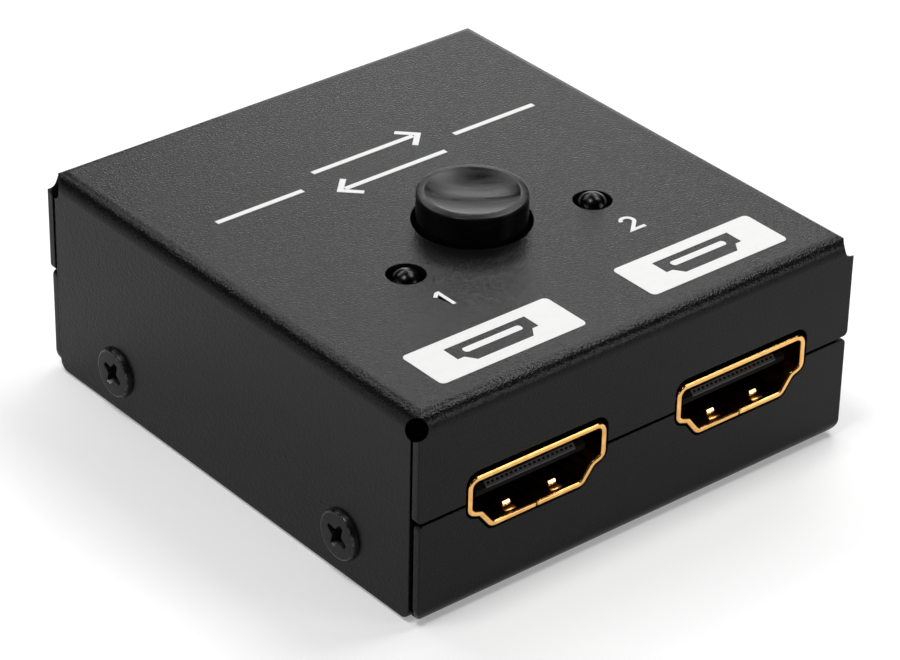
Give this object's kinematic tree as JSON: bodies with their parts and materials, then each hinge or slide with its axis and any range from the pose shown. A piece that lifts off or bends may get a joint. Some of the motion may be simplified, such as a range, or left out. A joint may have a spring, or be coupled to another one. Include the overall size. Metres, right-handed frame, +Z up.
{
  "type": "two-way video switch box",
  "caption": "Low black sheet-metal box that routes video by hand: flat gold-rimmed ports on its ends, a dished push button and small round indicator lights on top.",
  "frame": {"origin": "middle of the footprint, on the surface that the box stands on", "axes": "+Z up, +X right as seen from the front, the two front ports face -Y"},
  "size_m": [0.0496, 0.0526, 0.023],
  "materials": {
    "case_coat": "fine sand-textured black powder coat",
    "screw_black": "black zinc, satin",
    "port_gold": "gold plated, polished",
    "contact_gold": "gold plated",
    "black_plastic": "moulded, matte",
    "white_plastic": "moulded, natural",
    "board_green": "solder mask",
    "bright_steel": "zinc plated",
    "tinned_metal": "tinned",
    "button_gloss": "moulded, satin gloss",
    "indicator_lens": "clear moulded lens, unlit",
    "chip_black": "moulded",
    "capacitor_tan": "fired ceramic"
  },
  "bodies": {
    "case": {"top_cover": "case_coat", "bottom_tray": "case_coat", "case_screws": "screw_black", "circuit_board": "board_green", "board_standoffs": "bright_steel", "board_screws": "bright_steel", "port_shell_1": "port_gold", "port_shell_2": "port_gold", "port_shell_common": "port_gold", "port_insulator_1": "black_plastic", "port_insulator_2": "black_plastic", "port_insulator_common": "black_plastic", "port_contacts_1": "contact_gold", "port_contacts_2": "contact_gold", "port_contacts_common": "contact_gold", "switch_base": "black_plastic", "switch_housing": "black_plastic", "switch_terminals": "tinned_metal", "switch_spring": "bright_steel", "led_1_lens": "indicator_lens", "led_2_lens": "indicator_lens", "led_1_leads": "tinned_metal", "led_2_leads": "tinned_metal", "signal_chip": "chip_black", "chip_leads": "tinned_metal", "chip_resistors": "chip_black", "chip_capacitors": "capacitor_tan"},
    "button": {"button_cap": "button_gloss", "switch_plunger": "white_plastic", "switch_wipers": "contact_gold"}
  },
  "joints": [
    {"name": "button_press", "type": "slide", "parent": "case", "child": "button", "axis": [0, 0, -1], "range_m": [0, 0.002], "stiffness_N_per_m": 1000, "deforming": ["switch_spring"]}
  ]
}
